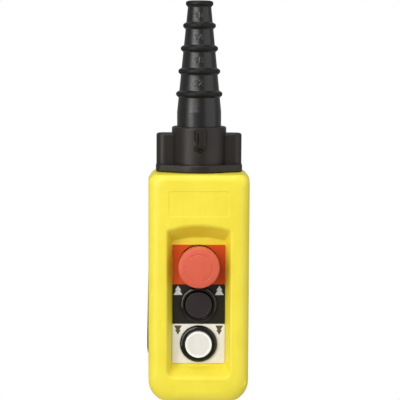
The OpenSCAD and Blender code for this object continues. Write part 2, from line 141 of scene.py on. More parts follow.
def moulded(name, dark, light, rough=(0.36, 0.5), grain=2.2, grain_mm=0.012,
            wave_mm=0.05, coat=0.0, coat_rough=0.2, spec=0.5, sss=0.0, blotch=0.035):
    """Injection-moulded plastic: a fine eroded texture on a slightly wavy surface, with soft colour drift."""
    mat, nt, bsdf = new_material(name)
    v = coords(nt)
    broad = noise(nt, v, blotch, 4.0, 0.6)
    flow = noise(nt, coords(nt, 1000.0, (1.0, 1.0, 0.22)), 0.16, 3.0, 0.5, 0.6)
    drift = combine(nt, combine(nt, broad, 0.65, "MULTIPLY"), combine(nt, flow, 0.35, "MULTIPLY"))
    link(nt, ramp(nt, drift, [(0.36, dark), (0.64, light)]), bsdf.inputs["Base Color"])
    fine = noise(nt, v, grain, 4.0, 0.62)
    mid = noise(nt, v, grain * 0.21, 3.0, 0.5)
    link(nt, span(nt, combine(nt, combine(nt, fine, 0.6, "MULTIPLY"), combine(nt, mid, 0.4, "MULTIPLY")),
                  0.35, 0.65, rough[0], rough[1]), bsdf.inputs["Roughness"])
    wave = noise(nt, v, 0.07, 2.0, 0.5)
    height = combine(nt, combine(nt, fine, grain_mm, "MULTIPLY"), combine(nt, wave, wave_mm, "MULTIPLY"))
    bump(nt, bsdf, height, 1.0)
    bsdf.inputs["Specular IOR Level"].default_value = spec
    if coat:
        bsdf.inputs["Coat Weight"].default_value = coat
        bsdf.inputs["Coat Roughness"].default_value = coat_rough
    if sss:
        bsdf.inputs["Subsurface Weight"].default_value = sss
        bsdf.inputs["Subsurface Radius"].default_value = (1.0, 0.5, 0.15)
        bsdf.inputs["Subsurface Scale"].default_value = 0.0015
    return mat


def rubber(name, dark, light, rough=(0.42, 0.6), dust=0.5, spec=0.5):
    """Moulded elastomer: matt bloom in soft clouds, fine pits and small pale dust specks."""
    mat, nt, bsdf = new_material(name)
    v = coords(nt)
    cloud = noise(nt, v, 0.09, 5.0, 0.62, 0.4)
    speck = noise(nt, v, 1.7, 2.0, 0.5)
    speck = span(nt, speck, 0.62, 0.74, 0.0, dust)
    tone = combine(nt, span(nt, cloud, 0.35, 0.65, 0.0, 0.75), combine(nt, speck, 0.25, "MULTIPLY"))
    link(nt, ramp(nt, tone, [(0.0, dark), (1.0, light)]), bsdf.inputs["Base Color"])
    fine = noise(nt, v, 2.8, 4.0, 0.6)
    link(nt, span(nt, combine(nt, fine, combine(nt, cloud, 0.5, "MULTIPLY")), 0.6, 0.95, rough[0], rough[1]),
         bsdf.inputs["Roughness"])
    pits = combine(nt, fine, 0.014, "MULTIPLY")
    lumps = combine(nt, noise(nt, v, 0.35, 2.0, 0.5), 0.03, "MULTIPLY")
    bump(nt, bsdf, combine(nt, pits, lumps), 1.0)
    bsdf.inputs["Specular IOR Level"].default_value = spec
    return mat


def metal(name, dark, light, rough=(0.22, 0.4), turned=True):
    """Plated or turned metal: fine machining lines, small stains and uneven polish."""
    mat, nt, bsdf = new_material(name)
    v = coords(nt)
    stain = noise(nt, v, 0.5, 5.0, 0.65)
    link(nt, ramp(nt, stain, [(0.35, dark), (0.62, light)]), bsdf.inputs["Base Color"])
    lines = noise(nt, coords(nt, 1000.0, (6.0, 0.6, 6.0) if turned else (0.6, 6.0, 6.0)), 1.1, 3.0, 0.6)
    link(nt, span(nt, combine(nt, lines, combine(nt, stain, 0.5, "MULTIPLY")), 0.55, 0.95, rough[0], rough[1]),
         bsdf.inputs["Roughness"])
    bump(nt, bsdf, combine(nt, lines, 0.006, "MULTIPLY"), 1.0)
    bsdf.inputs["Metallic"].default_value = 1.0
    return mat


YELLOW = moulded("yellow_moulded", srgb(236, 218, 56), srgb(243, 226, 68), rough=(0.36, 0.47), grain=2.0,
                 grain_mm=0.010, wave_mm=0.07, sss=0.0)
COLLAR = moulded("collar_moulded", srgb(28, 22, 19), srgb(36, 30, 27), rough=(0.34, 0.46), grain=1.7,
                 grain_mm=0.014, wave_mm=0.05, spec=0.4)
SLEEVE = rubber("sleeve_rubber", srgb(9, 8, 8), srgb(15, 14, 14), rough=(0.27, 0.36), spec=0.58)
SLEEVE_RING = rubber("sleeve_ring_rubber", srgb(9, 9, 9), srgb(16, 15, 15), rough=(0.46, 0.58), spec=0.3)
SEAL = rubber("seal_rubber", srgb(26, 26, 27), srgb(40, 40, 40), rough=(0.5, 0.7), dust=0.3)
STRIP = rubber("strip_rubber", srgb(34, 34, 32), srgb(50, 50, 47), rough=(0.5, 0.68), dust=0.4)
BEZEL = moulded("bezel_moulded", srgb(9, 7, 4), srgb(14, 11, 7), rough=(0.07, 0.11), grain=2.6, grain_mm=0.001,
                wave_mm=0.01)
CAP_BLACK = moulded("cap_black_moulded", srgb(34, 27, 26), srgb(40, 33, 31), rough=(0.42, 0.55), grain=3.0,
                    grain_mm=0.010, wave_mm=0.02, spec=0.4)
CAP_WHITE = moulded("cap_white_moulded", srgb(224, 222, 214), srgb(232, 230, 222), rough=(0.32, 0.42), grain=3.0,
                    grain_mm=0.006, wave_mm=0.02, sss=0.0)
# painted highlight: the white cap's rim is a lighter copy of the cap white, so the rim reads lit against the sunk disc
CAP_WHITE_RIM_HIGHLIGHT = moulded("cap_white_rim_painted_highlight", srgb(246, 245, 241), srgb(251, 250, 247), rough=(0.26, 0.36), grain=3.0,
                        grain_mm=0.004, wave_mm=0.02)
STOP_RED = moulded("stop_red_moulded", srgb(212, 90, 66), srgb(220, 100, 74), rough=(0.4, 0.52), grain=2.4,
                   grain_mm=0.010, wave_mm=0.03)
LEGEND_RED = moulded("legend_red_film", srgb(208, 72, 12), srgb(218, 80, 16), rough=(0.42, 0.55), grain=3.4,
                     grain_mm=0.007, wave_mm=0.02, spec=0.3)
LEGEND_BLACK = moulded("legend_black_film", srgb(26, 24, 17), srgb(33, 30, 22), rough=(0.42, 0.55), grain=3.4,
                       grain_mm=0.007, wave_mm=0.02, spec=0.3)
LEGEND_WHITE = moulded("legend_white_film", srgb(236, 232, 222), srgb(243, 239, 231), rough=(0.42, 0.55), grain=3.4,
                       grain_mm=0.007, wave_mm=0.02)
MARK_LIGHT = moulded("mark_light_ink", srgb(206, 209, 213), srgb(216, 219, 223), rough=(0.5, 0.62), grain=4.0,
                     grain_mm=0.006, wave_mm=0.0)
MARK_DARK = moulded("mark_dark_ink", srgb(76, 66, 45), srgb(86, 76, 54), rough=(0.5, 0.62), grain=4.0,
                    grain_mm=0.006, wave_mm=0.0)
BLACK = moulded("inner_black_moulded", srgb(30, 30, 30), srgb(42, 42, 42), rough=(0.34, 0.48))
IVORY = moulded("ivory_moulded", srgb(196, 190, 166), srgb(212, 207, 186), rough=(0.38, 0.52), grain_mm=0.008)
STEEL = metal("zinc_plated_steel", srgb(158, 160, 163), srgb(196, 198, 200))
BRASS = metal("brass_turned", srgb(170, 136, 62), srgb(212, 180, 98))

SLOT_MATERIAL = {
    "yellow_shell": YELLOW, "strip_rubber": STRIP, "collar_plastic": COLLAR, "sleeve_rubber": SLEEVE,
    "seal_rubber": SEAL, "black_plastic": BLACK, "legend_red": LEGEND_RED, "legend_black": LEGEND_BLACK,
    "legend_white": LEGEND_WHITE, "stop_red": STOP_RED, "cap_black": CAP_BLACK, "cap_white": CAP_WHITE,
    "bezel_black": BEZEL, "contact_brass": BRASS, "zinc_steel": STEEL, "ivory_plastic": IVORY,
}
for row in frame["record"]["subparts"]:
    ob = nodes[row["node"]]
    ob.data.materials.clear()
    ob.data.materials.append(SLOT_MATERIAL[row["material_slot"]])

# ---------------------------------------------------------------- mesh tools


class Shape:
    """Vertices and faces under construction, in millimetres."""

    def __init__(self):
        self.v, self.f, self.m = [], [], []

    def pts(self, rows):
        i = len(self.v)
        self.v.extend((float(a), float(b), float(c)) for a, b, c in rows)
        return list(range(i, len(self.v)))

    def face(self, loop, m=0):
        self.f.append(tuple(loop))
        self.m.append(m)

    def bridge(self, a, b, m=0, closed=True):
        if len(a) == 1 and len(b) == 1:
            return
        n = max(len(a), len(b))
        for i in range(n if closed else n - 1):
            j = (i + 1) % n
            if len(a) == 1:
                self.face((a[0], b[j], b[i]), m)
            elif len(b) == 1:
                self.face((a[i], a[j], b[0]), m)
            else:
                self.face((a[i], a[j], b[j], b[i]), m)

    def loft(self, loops, m=0):
        idx = [self.pts(p) for p in loops]
        for a, b in zip(idx, idx[1:]):
            self.bridge(a, b, m)
        return idx

    def fill(self, outer, holes=(), m=0, axes=(0, 2)):
        """Triangles between an outer loop and holes in it, all in one plane."""
        loops = [outer, *holes]
        flat = [i for lp in loops for i in lp]
        co = [Vector((self.v[i][axes[0]], self.v[i][axes[1]])) for i in flat]
        edges, k = [], 0
        for lp in loops:
            n = len(lp)
            edges += [(k + i, k + (i + 1) % n) for i in range(n)]
            k += n
        out = geometry.delaunay_2d_cdt(co, edges, [], 0, 1e-7)
        src = [flat[o[0]] for o in out[3]]
        xy = np.array([tuple(c) for c in out[0]])
        polys, k = [], 0
        for lp in loops:
            polys.append(np.array([tuple(c) for c in co[k:k + len(lp)]]))
            k += len(lp)
        for t in out[2]:
            c = xy[list(t)].mean(0)
            if inside(polys[0], c) and not any(inside(p, c) for p in polys[1:]):
                self.face([src[i] for i in t], m)


def inside(poly, p):
    x, y = poly[:, 0], poly[:, 1]
    x2, y2 = np.roll(x, -1), np.roll(y, -1)
    cross = (y > p[1]) != (y2 > p[1])
    with np.errstate(divide="ignore", invalid="ignore"):
        xi = x + (p[1] - y) * (x2 - x) / (y2 - y)
    return bool(np.count_nonzero(cross & (p[0] < xi)) % 2)


def arc(cx, cy, r, a0, a1, n):
    a = np.radians(np.linspace(a0, a1, n + 1))
    return list(zip(cx + r * np.cos(a), cy + r * np.sin(a)))


def rrect(x0, x1, y0, y1, rl, rh, n=8):
    return (arc(x1 - rl, y0 + rl, rl, -90, 0, n) + arc(x1 - rh, y1 - rh, rh, 0, 90, n)
            + arc(x0 + rh, y1 - rh, rh, 90, 180, n) + arc(x0 + rl, y0 + rl, rl, 180, 270, n))


def fillet(points, closed=True, n=5):
    """Points (x, y, radius) to a polyline with rounded corners."""
    out, N = [], len(points)
    for i, (x, y, r) in enumerate(points):
        if r <= 0 or (not closed and i in (0, N - 1)):
            out.append((x, y))
            continue
        p = np.array((x, y), float)
        a = np.array(points[i - 1][:2], float) - p
        b = np.array(points[(i + 1) % N][:2], float) - p
        la, lb = np.linalg.norm(a), np.linalg.norm(b)
        a, b = a / la, b / lb
        ang = math.acos(max(-1, min(1, float(a @ b))))
        if ang > math.pi - 1e-4:
            out.append((x, y))
            continue
        t = min(r / math.tan(ang / 2), la * 0.48, lb * 0.48)
        rr_ = t * math.tan(ang / 2)
        c = p + (a + b) / np.linalg.norm(a + b) * rr_ / math.sin(ang / 2)
        s, e = p + a * t - c, p + b * t - c
        a0 = math.atan2(s[1], s[0])
        d = (math.atan2(e[1], e[0]) - a0 + math.pi) % (2 * math.pi) - math.pi
        for k in range(n + 1):
            w = a0 + d * k / n
            out.append((float(c[0] + rr_ * math.cos(w)), float(c[1] + rr_ * math.sin(w))))
    return out


def revolve(s, profile, n=96, centre=(0.0, 0.0), upright=False, m=0, closed=False):
    """Profile of (r, h): h runs forward from the joint plane, or up where upright."""
    idx = []
    a = np.linspace(0, 2 * math.pi, n, endpoint=False)
    for r, h in profile:
        if r < 1e-6:
            row = [(0.0, 0.0, h)] if upright else [(centre[0], -h, centre[1])]
        elif upright:
            row = [(r * math.sin(t), -r * math.cos(t), h) for t in a]
        else:
            row = [(centre[0] + r * math.cos(t), -h, centre[1] + r * math.sin(t)) for t in a]
        idx.append(s.pts(row))
    for p, q in zip(idx, idx[1:]):
        s.bridge(p, q, m)
    if closed:
        s.bridge(idx[-1], idx[0], m)
    return idx


def build(name, s, merge=1e-4):
    me = bpy.data.meshes.new(name)
    me.from_pydata(s.v, [], s.f)
    me.polygons.foreach_set("material_index", s.m)
    bm = bmesh.new()
    bm.from_mesh(me)
    bmesh.ops.remove_doubles(bm, verts=bm.verts, dist=merge)
    bmesh.ops.recalc_face_normals(bm, faces=bm.faces)
    bm.to_mesh(me)
    bm.free()
    ob = bpy.data.objects.new(name, me)
    bpy.context.scene.collection.objects.link(ob)
    return ob


def applied(ob):
    dg = bpy.context.evaluated_depsgraph_get()
    me = bpy.data.meshes.new_from_object(ob.evaluated_get(dg))
    ob.modifiers.clear()
    old = ob.data
    ob.data = me
    bpy.data.meshes.remove(old)


def combine_solids(ob, s, op):
    """Boolean with another closed shape."""
    tool = build("tool", s)
    m = ob.modifiers.new("b", "BOOLEAN")
    m.operation = op
    m.solver = "EXACT"
    m.use_self = True
    m.object = tool
    applied(ob)
    bpy.data.objects.remove(tool)
    return ob


def piece(ob, body, mats, replaces=(), sharp=35, weighted=True):
    """To metres in the row frame, smooth with sharp edges kept, on its body."""
    me = ob.data
    co = np.empty(len(me.vertices) * 3)
    me.vertices.foreach_get("co", co)
    co = co.reshape(-1, 3)
    co[:, 2] -= BASE
    me.vertices.foreach_set("co", (co * 0.001).ravel())
    index = np.zeros(len(me.polygons), dtype=np.int32)
    me.polygons.foreach_get("material_index", index)
    me.materials.clear()
    for mat in mats:
        me.materials.append(mat)
    me.polygons.foreach_set("material_index", index)
    bm = bmesh.new()
    bm.from_mesh(me)
    bmesh.ops.dissolve_degenerate(bm, edges=bm.edges, dist=1e-8)
    limit = math.radians(sharp)
    for e in bm.edges:
        e.smooth = len(e.link_faces) == 2 and e.calc_face_angle(0.0) < limit
    for f in bm.faces:
        f.smooth = True
    bm.to_mesh(me)
    bm.free()
    me.update()
    if weighted:
        w = ob.modifiers.new("w", "WEIGHTED_NORMAL")
        w.weight = 50
        w.keep_sharp = True
        applied(ob)
    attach(ob, body)
    if replaces:
        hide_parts(*replaces)
    return ob


# ---------------------------------------------------------------- enclosure
TOP, HALF, FRONT, REAR, DRAFT = 176.0, 39.0, 35.0, 30.0, 0.033


def shell_ring(h, off, front=True, n=12):
    """Section of the enclosure at depth h, offset inwards by off."""
    side = (9.0 if front else 12.0) - off
    low, high = 11.0 - off, max(5.0 - off, 1.5)
    end = (FRONT if front else REAR) - off
    mid = end - side
    slant = math.sqrt(1 + DRAFT * DRAFT)
    if h <= mid + side * DRAFT / slant:
        w = HALF - off - DRAFT * h
    else:
        w = HALF - off - DRAFT * mid - side * slant + math.sqrt(max(side * side - (h - mid) ** 2, 0.0))

    def back(r):
        k = h - (end - r)
        return 0.0 if k <= 0 else r - math.sqrt(max(r * r - k * k, 0.0))

    return [(x, -h if front else h, z) for x, z in
            rrect(-w, w, off + back(low), TOP - off - back(high), 17.3 - off, max(7.0 - off, 2.4), n)]


def depth_steps(off, front=True, n=16):
    end = (FRONT if front else REAR) - off
    r = (11.0 if front else 12.0) - off
    return [end - r + r * math.sin(math.radians(90.0 * k / n)) for k in range(n + 1)]


def well_outline(w, z0, ztop, R, rb, q, n1=8, n2=6, n3=28):
    zc = ztop - R
    zf = zc + math.sqrt((R - q) ** 2 - (w - q) ** 2)
    al = math.degrees(math.atan2(zf - zc, w - q))
    return (arc(w - rb, z0 + rb, rb, -90, 0, n1) + arc(w - q, zf, q, 0, al, n2)
            + arc(0, zc, R, al, 180 - al, n3)[1:-1]
            + arc(-w + q, zf, q, 180 - al, 180, n2) + arc(-w + rb, z0 + rb, rb, 180, 270, n1))


def well_top(e):
    return np.array(well_outline(24 + e, 21 - e, 138 + e, 76 + e, 5 + e, 2.2 + e))


def well_floor(e):
    return np.array(well_outline(20.2 + e, 28.3 - e, 127.8 + e, 68.2 + e, 1.4 + e, 1.2 + e))


def at_h(xz, h):
    return [(x, -h, z) for x, z in xz]


def circle(cx, cz, r, h, n=72):
    return [(cx + r * math.cos(2 * math.pi * k / n), -h, cz + r * math.sin(2 * math.pi * k / n)) for k in range(n)]


# front shell
s = Shape()
outer = s.loft([shell_ring(0.0, 0.55), shell_ring(0.0, 0.30), shell_ring(0.09, 0.10), shell_ring(0.32, 0.0)]
               + [shell_ring(h, 0.0) for h in depth_steps(0.0)])
# well: rounded rim, sloping walls, small fillet at the floor
top0, floor0 = well_top(0.0), well_floor(0.0)
rim = 1.7
A = np.array([(x, 35.0, z) for x, z in well_top(rim)])
C = np.array([(x, 35.0, z) for x, z in top0])
wall_dir = np.array([(x1 - x0, -11.0, z1 - z0) for (x0, z0), (x1, z1) in zip(top0, floor0)])
B = C + wall_dir * 0.15
rings = []
for k in range(8):
    t = k / 7
    p = (1 - t) ** 2 * A + 2 * t * (1 - t) * C + t * t * B
    rings.append([(x, -h, z) for x, h, z in p])
E = C + wall_dir * 0.92
F = C + wall_dir
G = np.array([(x, 24.0, z) for x, z in well_floor(-0.8)])
for t in (0.35, 0.65, 0.9):
    rings.append([(x, -h, z) for x, h, z in C + wall_dir * t])
for k in range(6):
    t = k / 5
    p = (1 - t) ** 2 * E + 2 * t * (1 - t) * F + t * t * G
    rings.append([(x, -h, z) for x, h, z in p])
well = s.loft(rings)
# blank label field
label = [rrect(-22.9 - e, 22.9 + e, 144.4 - e, 163.7 + e, 2 + e, 2 + e, 6) for e in (0.25, 0.0, -0.12, -0.4)]
lab = s.loft([at_h(p, h) for p, h in zip(label, (35.0, 34.93, 34.78, 34.62))])
s.fill(lab[-1])
s.fill(outer[-1], [well[0], lab[0]])
# floor with three operator holes
holes_front = [s.pts(circle(0, z, 11.25, 24.0)) for z in (DOWN, UP, STOP)]
holes_back = [s.pts(circle(0, z, 11.25, 21.0)) for z in (DOWN, UP, STOP)]
s.fill(well[-1], holes_front)
for a, b in zip(holes_front, holes_back):
    s.bridge(a, b)
# inner side
inner_floor = s.pts(at_h(well_floor(2.6), 21.0))
inner_top = np.array([(x, 32.0, z) for x, z in well_top(2.6)])
inner_top = s.pts([(x, -h, z) for x, h, z in
                   inner_top + 0.27 * (np.array([(x, 21.0, z) for x, z in well_floor(2.6)]) - inner_top) * (1, 0, 1)])
s.bridge(inner_floor, inner_top)
s.fill(inner_floor, holes_back)
inner = s.loft([shell_ring(h, 3.0) for h in depth_steps(3.0)[::-1]] + [shell_ring(0.0, 3.0)])
s.fill(inner[0], [inner_top])
groove = s.loft([shell_ring(0.0, 2.25), shell_ring(1.2, 2.25), shell_ring(1.2, 0.75), shell_ring(0.0, 0.75)])
s.bridge(inner[-1], groove[0])
s.bridge(groove[-1], outer[0])
front = build("front_shell_skin", s)
# pillars of the thread inserts
s = Shape()
for at in SCREWS:
    revolve(s, [(0, 0), (4.4, 0), (4.6, 0.2), (4.6, 32.4), (0, 32.4)], 32, at)
combine_solids(front, s, "UNION")
s = Shape()
for at in SCREWS:
    revolve(s, [(0, -1), (3.25, -1), (3.25, 10.2), (0, 10.2)], 32, at)
revolve(s, [(0, 169), (23.25, 169), (23.25, 183), (0, 183)], 96, upright=True)
combine_solids(front, s, "DIFFERENCE")
piece(front, "enclosure", [YELLOW], ["front_shell"])

# rear shell
s = Shape()
outer = s.loft([shell_ring(0.05, 0.55, False), shell_ring(0.05, 0.30, False), shell_ring(0.14, 0.10, False),
                shell_ring(0.37, 0.0, False)] + [shell_ring(h, 0.0, False) for h in depth_steps(0.0, False)])
inner = s.loft([shell_ring(h, 3.0, False) for h in depth_steps(3.0, False)[::-1]] + [shell_ring(0.05, 3.0, False)])
s.bridge(inner[-1], outer[0])
s.fill(outer[-1])
s.fill(inner[0])
rear = build("rear_shell_skin", s)
s = Shape()
for at in SCREWS:
    revolve(s, [(0, -27.2), (6.0, -27.2), (6.0, -0.3), (5.75, -0.05), (0, -0.05)], 36, at)
for sx in (-1, 1):
    revolve(s, [(0, -27.5), (4.2, -27.5), (4.2, -8.3), (3.95, -8.05), (0, -8.05)], 32, (sx * 12.5, 153))
combine_solids(rear, s, "UNION")
s = Shape()
for at in SCREWS:
    revolve(s, [(0, -31), (4.2, -31), (4.2, -21.5), (2.2, -21.5), (2.2, 1), (0, 1)], 48, at)
for sx in (-1, 1):
    revolve(s, [(0, -21), (1.7, -21), (1.7, -7), (0, -7)], 24, (sx * 12.5, 153))
revolve(s, [(0, 169), (23.25, 169), (23.25, 183), (0, 183)], 96, upright=True)
# seat of the rubber strip
seat = s.loft([[(x, y, z) for y, z in rrect(4.9, 17.1, 30.4, 115.6, 0.5, 0.5, 3)] for x in (-42.0, -37.75)])
s.face(seat[0])
s.face(seat[1][::-1])
combine_solids(rear, s, "DIFFERENCE")
piece(rear, "enclosure", [YELLOW], ["rear_shell"])

# rubber strip on the left flank
s = Shape()
strip_edge = [(30.5, 38.9), (31.4, 39.5), (36.0, 40.1), (45.0, 40.1), (73.0, 39.6), (103.0, 39.1), (115.5, 38.75)]


def strip_x(z):
    return float(np.interp(z, [p[0] for p in strip_edge], [p[1] for p in strip_edge]))


zs = list(np.linspace(30.5, 37, 9)) + list(np.linspace(39, 115.5, 32))
rows = []
for z in zs:
    x = strip_x(z)
    e = 0.5
    prof = [(5.0, 37.8), (5.0, x - e)]
    prof += [(5.0 + e - e * math.cos(t), x - e + e * math.sin(t)) for t in np.radians((30, 60, 90))]
    # two shallow grooves along the strip
    for c in (9.0, 13.0):
        prof += [(c - 0.7, x), (c - 0.4, x - 0.28), (c + 0.4, x - 0.28), (c + 0.7, x)]
    prof += [(17.0 - e + e * math.sin(t), x - e + e * math.cos(t)) for t in np.radians((0, 30, 60))]
    prof += [(17.0, x - e), (17.0, 37.8)]
    rows.append(s.pts([(-px, y, z) for y, px in prof]))
for a, b in zip(rows, rows[1:]):
    s.bridge(a, b)
s.face(rows[0])
s.face(rows[-1][::-1])
piece(build("side_strip_skin", s), "enclosure", [STRIP], ["side_strip"], sharp=50)

# shell screws with a cross recess
screws = Shape()
for at in SCREWS:
    revolve(screws, fillet([(0, -24.6, 0), (3.7, -24.6, 0.9), (3.7, -21.6, 0.3), (1.95, -21.6, 0.2), (1.95, 8.4, 0.5),
                            (0, 9.0, 0)], closed=False), 40, at)
screw = build("shell_screws_skin", screws)
s = Shape()


def turned(at, angle, corners):
    c, d = math.cos(math.radians(angle)), math.sin(math.radians(angle))
    return [(at[0] + u * c - w * d, at[1] + u * d + w * c) for u, w in corners]


for at in SCREWS:
    for k in range(2):
        angle = 45 + 90 * k + 0.4 * at[0] + at[1]
        a = turned(at, angle, ((-2.1, -0.42), (2.1, -0.42), (2.1, 0.42), (-2.1, 0.42)))
        b = turned(at, angle, ((-1.2, -0.3), (1.2, -0.3), (1.2, 0.3), (-1.2, 0.3)))
        la = s.pts([(x, 25.0, z) for x, z in a])
        lb = s.pts([(x, 22.9, z) for x, z in b])
        s.bridge(la, lb)
        s.face(la[::-1])
        s.face(lb)
combine_solids(screw, s, "DIFFERENCE")
piece(screw, "enclosure", [STEEL], ["shell_screws"])

# ---------------------------------------------------------------- operators
UP_MARK = [(-3.4, -3.6), (3.4, -3.6), (1.2, 0), (2.4, 0), (0, 3.6), (-2.4, 0), (-1.2, 0)]
DOWN_MARK = [(3, 3.6), (-3, 3.6), (-1.1, 0.2), (-2.2, 0.2), (0, -3.6), (2.2, 0.2), (1.1, 0.2)]


def legend(name, z, mark, rise, mats, node):
    s = Shape()
    back = rrect(-20, 20, z - 15.2, z + 15.2, 0.6, 0.6, 4)
    inset = rrect(-19.84, 19.84, z - 15.04, z + 15.04, 0.5, 0.5, 4)
    mid = rrect(-19.95, 19.95, z - 15.15, z + 15.15, 0.56, 0.56, 4)
    lp = s.loft([at_h(back, 24.03), at_h(back, 24.84), at_h(mid, 24.95), at_h(inset, 25.0)])
    hole = s.loft([circle(0, z, 11.3, 25.0), circle(0, z, 11.3, 24.03)])
    marks = []
    for sx in (-1, 1):
        if mark:
            outline = [(sx * 15.75 + x, z + rise + y) for x, y in mark]
            rim_ = s.pts(at_h(outline, 25.0))
            low = s.pts(at_h(outline, 24.9))
            s.bridge(rim_, low, 1)
            s.fill(low, m=1)
            marks.append(rim_)
    s.fill(lp[-1], [hole[0], *marks])
    s.fill(lp[0], [hole[-1]])
    piece(build(name, s), "enclosure", mats, [node], sharp=40)


legend("legend_stop_skin", STOP, None, 0, [LEGEND_RED], "legend_plate_stop")
legend("legend_up_skin", UP, UP_MARK, 10.75, [LEGEND_BLACK, MARK_LIGHT], "legend_plate_up")
legend("legend_down_skin", DOWN, DOWN_MARK, 10.4, [LEGEND_WHITE, MARK_DARK], "legend_plate_down")


def bezel(name, z, r, node):
    s = Shape()
    # front edge: a quarter of an ellipse, so that a highlight on it stays narrow
    crown = [(r - 2.9 + 2.9 * math.sin(t), 25.5 + 2.2 * math.cos(t), 0) for t in np.radians(np.linspace(0, 90, 15))]
    prof = fillet([(10.4, 14.0, 0.2), (10.4, 26.9, 0.25), (10.9, 27.55, 0.3)] + crown
                  + [(r, 25.05, 0.12), (13.4, 25.05, 0), (13.4, 25.85, 0), (12, 25.85, 0),
                     (12, 25.05, 0), (11.1, 25.05, 0), (11.1, 10, 0.3), (9.6, 10, 0.2), (9.6, 12, 0), (4.05, 12, 0),
                     (4.05, 14, 0)], n=6)
    revolve(s, prof, 128, (0, z), closed=True)
    piece(build(name, s), "enclosure", [BEZEL], [node], sharp=40)


bezel("stop_bezel_skin", STOP, 15.4, "estop_bezel")
bezel("up_bezel_skin", UP, 14.3, "up_bezel")
bezel("down_bezel_skin", DOWN, 14.3, "down_bezel")


def cap(name, z, mats, node, body):
    """Cap with a raised rim round a sunk disc; the last material is on the rim, for the white cap a lighter copy of its
    white that paints a highlight on the rim.
    """
    s = Shape()
    prof = fillet([(0, 28, 0), (8.6, 28, 0.3), (8.6, 23, 0.15), (10.1, 23, 0.3), (10.1, 30.0, 0.75), (8.75, 30.0, 0.3),
                   (8.35, 29.62, 0.25), (7.9, 29.66, 0.4), (4.0, 29.68, 2.0), (0, 29.7, 0)], closed=False, n=6)
    k = next(i for i, (r, h) in enumerate(prof) if h > 29.5 and r < 8.55)
    revolve(s, prof[:k + 1], 128, (0, z), m=len(mats) - 1)
    revolve(s, prof[k:], 128, (0, z))
    piece(build(name, s), body, mats, [node], sharp=50)


cap("up_cap_skin", UP, [CAP_BLACK], "up_cap", "up_button")
# the white cap's rim gets the lighter copy of the white, a painted highlight
cap("down_cap_skin", DOWN, [CAP_WHITE, CAP_WHITE_RIM_HIGHLIGHT], "down_cap", "down_button")


# stop head with three engraved turn-to-release arrows
def arrow_depth(r, a):
    """1 inside an arrow, 0 outside, with soft flanks; a in degrees, clockwise seen from the front."""
    d = np.full(np.shape(a), 9.0)
    for k in range(3):
        t = (a - (k * 120.0) + 180.0) % 360.0 - 180.0  # from the middle of this arrow
        u = np.radians(t) * 10.2
        w = np.abs(r - 10.2)
        # shaft
        du = np.maximum(np.maximum(-7.6 - u, u - 5.2), 0.0)
        d = np.minimum(d, np.hypot(du, np.maximum(w - 0.42, 0)) + np.where((du == 0) & (w < 0.42), w - 0.42, 0))
        # head
        ht = (7.9 - u) / 2.9  # 1 at the base, 0 at the tip
        inside_head = np.maximum.reduce([w - 1.35 * ht, 5.0 - u, u - 7.9]) * 0.9
        d = np.minimum(d, inside_head)
    return 1.0 - np.clip((d + 0.12) / 0.3, 0.0, 1.0)


s = Shape()
n_head = 480
lower = fillet([(0, 37.1, 0), (4.05, 37.1, 0), (4.05, 27.05, 0), (9.6, 27.05, 0.2), (9.6, 32.6, 0.4), (14.3, 32.6, 0.5),
                (15.2, 33.0, 0.5), (15.5, 33.8, 0.6), (15.5, 40.2, 1.3), (15.2, 41.8, 0.9), (14.4, 42.5, 0.8),
                (11.8, 42.9, 0)], closed=False, n=5)
radii = list(np.linspace(11.8, 8.4, 30)) + [7.6, 6.5, 5.2, 3.8, 2.3, 1.0]
ang = np.linspace(0, 2 * math.pi, n_head, endpoint=False)
idx = []
for r, h in lower:
    row = [(0, -h, STOP)] if r < 1e-6 else [(r * math.cos(t), -h, STOP + r * math.sin(t)) for t in ang]
    idx.append(s.pts(row))
clockwise = (90.0 - np.degrees(ang)) % 360.0
for r in radii[1:]:
    h = 43.5 - 0.6 * (r / 11.8) ** 2
    dd = 0.30 * arrow_depth(np.full(n_head, r), clockwise)
    idx.append(s.pts([(r * math.cos(t), -(h - q), STOP + r * math.sin(t)) for t, q in zip(ang, dd)]))
idx.append(s.pts([(0, -43.5, STOP)]))
for a, b in zip(idx, idx[1:]):
    s.bridge(a, b)
piece(build("estop_head_skin", s), "estop_knob", [STOP_RED], ["estop_head"], sharp=60, weighted=False)

# ---------------------------------------------------------------- collar


def plate_outline(e, n=26):
    R, r, cx, cy = 26.0 - e, 7.0 - e, 26.1, 7.0
    a = math.degrees(math.atan2(cy, cx)) + math.degrees(math.acos((R - r) / math.hypot(cx, cy)))
    return (arc(0, 0, R, 180 - a, a, n) + arc(cx, cy, r, a, 0, 8) + arc(cx, -cy, r, 0, -a, 8)
            + arc(0, 0, R, -a, a - 180, n) + arc(-cx, -cy, r, a - 180, -180, 8) + arc(-cx, cy, r, 180, 180 - a, 8))


def plan(xy, z):
    return [(x, y, z) for x, y in xy]


s = Shape()
lp = s.loft([plan(plate_outline(0.8), 176.1), plan(plate_outline(0.6), 176.5), plan(plate_outline(0.0), 177.1)]
            + [plan(plate_outline(1.0 - 1.0 * math.cos(t)), 181.0 + 1.0 * math.sin(t))
               for t in np.radians(np.linspace(0, 90, 7))])
s.face(lp[0][::-1])
s.face(lp[-1])
collar = build("cable_collar_skin", s)
s = Shape()
revolve(s, fillet([(0, 178, 0), (20.95, 178, 0), (20.95, 210.5, 1.5), (0, 210.5, 0)], closed=False, n=7), 128, upright=True)
combine_solids(collar, s, "UNION")
s = Shape()
# wings: one block across the barrel, round at both ends
lp = s.loft([plan(rrect(-32.8 + e, 32.8 - e, -6.9 + e, 6.9 - e, 6.85 - e, 6.85 - e, 14), z)
             for e, z in [(0, 178.0)] + [(1.8 - 1.8 * math.cos(t), 203.7 + 1.8 * math.sin(t))
                                         for t in np.radians(np.linspace(0, 90, 8))]])
s.face(lp[0][::-1])
s.face(lp[-1])
combine_solids(collar, s, "UNION")
